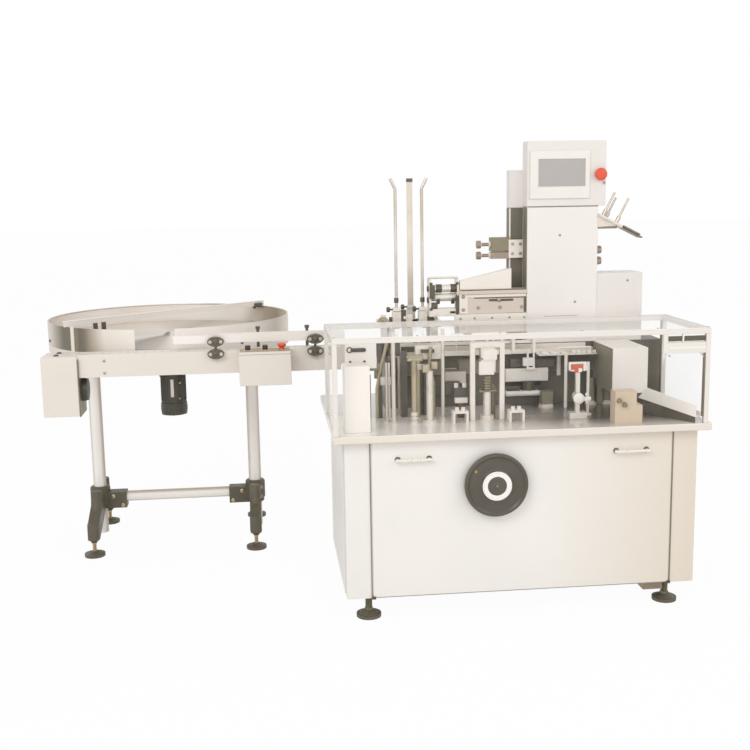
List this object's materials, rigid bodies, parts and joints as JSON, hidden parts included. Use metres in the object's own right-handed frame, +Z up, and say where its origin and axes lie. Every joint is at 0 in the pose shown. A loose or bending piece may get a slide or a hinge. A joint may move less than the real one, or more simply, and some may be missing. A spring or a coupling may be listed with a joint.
{
  "type": "packaging machine with bottle turntable",
  "caption": "Floor-standing packaging machine: cabinet with handwheel, clear guard, display tower and carton magazine, fed by a rim turntable and a short chain conveyor.",
  "frame": {"origin": "middle of the footprint on the floor", "axes": "+X to the right along the front, the longest way; +Y to the back; +Z up"},
  "size_m": [2.943, 2, 2],
  "materials": {
    "steel": "satin cream-white coat",
    "handle": "satin",
    "base": "dull brown coat",
    "black_plastic": "matte black",
    "mirror_steel": "near mirror",
    "wheel_black": "gloss black",
    "guard_frame": "satin",
    "clear_panel": "clear acrylic",
    "dark_paint": "dark olive coat",
    "light_panel": "satin machined",
    "machined": "machined",
    "white_cover": "white coat",
    "cream_paint": "cream coat",
    "bezel_plastic": "matte white",
    "polished": "polished",
    "chain": "pale acetal",
    "motor_black": "black enamel",
    "knob": "black",
    "stop_red": "red moulded plastic",
    "disc_steel": "circular brushed"
  },
  "bodies": {
    "machine": {"base_channel": "base", "bipod_brackets": "black_plastic", "cabinet_body": "steel", "chute_hood": "white_cover", "clamp_brackets": "machined", "control_box": "steel", "conveyor_chain": "chain", "conveyor_frame": "steel", "counter_stand": "machined", "display_bezel": "bezel_plastic", "display_box": "steel", "diverter_bar": "polished", "drive_box": "steel", "feeder_arms": "machined", "feeder_column": "dark_paint", "gauge_block": "cream_paint", "gear_motors": "motor_black", "guard_cross_rails": "guard_frame", "guard_panels": "clear_panel", "guard_posts": "guard_frame", "guard_side_rails": "guard_frame", "guide_columns": "machined", "guide_rails": "polished", "hand_knobs": "knob", "housing_fascia": "light_panel", "infeed_cover": "white_cover", "leaflet_rods": "polished", "leaflet_tray": "light_panel", "levelling_feet": "black_plastic", "lift_cylinder": "machined", "lift_portal": "machined", "line_beam": "light_panel", "line_plates": "light_panel", "magazine_base": "machined", "magazine_rods": "polished", "outfeed_slide": "white_cover", "panel_handles": "handle", "product_track": "machined", "rail_clamps": "black_plastic", "rear_housing": "dark_paint", "roller_frame": "machined", "service_panels": "steel", "side_box": "cream_paint", "slide_web": "dark_paint", "stop_buttons": "stop_red", "support_tubes": "polished", "table_pillars": "machined", "table_plate": "mirror_steel", "tower_cover": "steel", "turntable_bed": "steel", "turntable_rim": "polished"},
    "handwheel": {"handwheel": "wheel_black"},
    "turntable": {"turntable_disc": "disc_steel"}
  },
  "joints": [
    {"name": "handwheel_turn", "type": "hinge", "parent": "machine", "child": "handwheel", "pos_m": [0.5525, -0.959, 0.582], "axis": [0, -1, 0], "continuous": true},
    {"name": "turntable_spin", "type": "hinge", "parent": "machine", "child": "turntable", "pos_m": [-0.8635, 0.392, 1.066], "axis": [0, 0, 1], "continuous": true}
  ]
}
